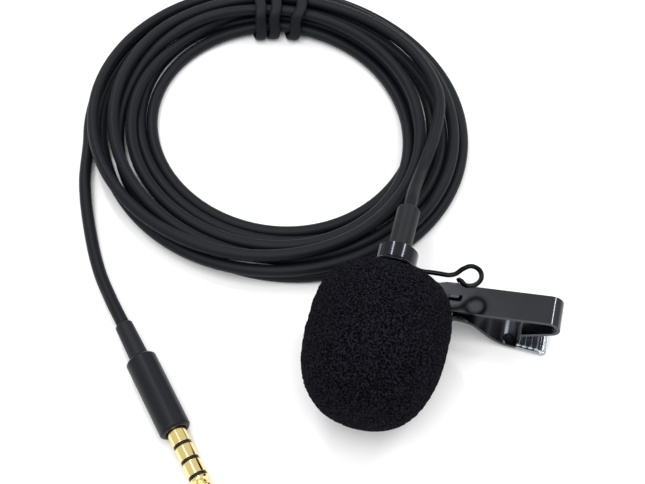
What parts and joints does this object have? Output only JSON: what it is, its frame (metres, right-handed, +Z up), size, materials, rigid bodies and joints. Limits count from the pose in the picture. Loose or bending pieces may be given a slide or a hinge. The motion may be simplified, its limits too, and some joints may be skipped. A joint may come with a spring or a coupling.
{
  "type": "lavalier microphone",
  "caption": "Small tie-clip microphone with a foam windscreen, a sprung metal clip with a wire cord hook, and a coiled lead that ends in a 3.5 mm plug.",
  "frame": {"origin": "centre of the box round the microphone and its clip, on the surface that they lie on", "axes": "+X along the clip towards its tip, +Y from the windscreen towards the lead along the microphone, +Z up"},
  "size_m": [0.1071, 0.124, 0.026],
  "materials": {
    "foam": "fine-pored open-cell polyurethane foam, matte black",
    "aluminium": "drawn aluminium, satin",
    "steel": "bright nickel-plated steel",
    "black_nickel": "black nickel plate, glossy",
    "circuit_board": "green glass-fibre board",
    "black_rubber": "black moulded PVC, matte",
    "red_insulation": "red wire insulation",
    "black_insulation": "black plastic",
    "cord_jacket": "black PVC cord jacket, satin",
    "black_plastic": "black moulded barrel, satin",
    "gold": "gold plate, polished"
  },
  "bodies": {
    "microphone": {"capsule_housing": "aluminium", "front_grille": "steel", "dust_cloth": "foam", "electret_capsule": "aluminium", "capsule_board": "circuit_board", "capsule_gasket": "black_rubber", "signal_conductor": "red_insulation", "ground_conductor": "black_insulation", "mic_strain_relief": "black_rubber", "cable_mic_lead": "cord_jacket", "cable_coil": "cord_jacket", "cable_plug_lead": "cord_jacket", "twist_tie": "black_insulation", "plug_strain_relief": "black_rubber", "plug_barrel": "black_plastic", "plug_insulation": "black_insulation", "plug_sleeve": "gold", "plug_ring_2": "gold", "plug_ring_1": "gold", "plug_tip": "gold"},
    "windscreen": {"foam_windscreen": "foam"},
    "clip": {"collar": "black_nickel", "collar_rivet": "black_nickel", "upper_jaw": "black_nickel", "pivot_pin": "black_nickel", "bow_spring": "steel", "cable_hook": "black_nickel"},
    "jaw": {"lower_jaw": "black_nickel"}
  },
  "joints": [
    {"name": "windscreen_pull", "type": "slide", "parent": "microphone", "child": "windscreen", "axis": [0, -1, 0], "range_m": [0, 0.03]},
    {"name": "clip_swivel", "type": "hinge", "parent": "microphone", "child": "clip", "pos_m": [-0.00965, 0.00835, 0.013], "axis": [0, -1, 0], "range_deg": [-4, 180]},
    {"name": "jaw_hinge", "type": "hinge", "parent": "clip", "child": "jaw", "pos_m": [0.00139, 0.00835, 0.0047], "axis": [0, 1, 0], "range_deg": [0, 10], "stiffness_Nm_per_rad": 0.03, "springref_deg": -20.05, "deforming": ["bow_spring"]}
  ]
}
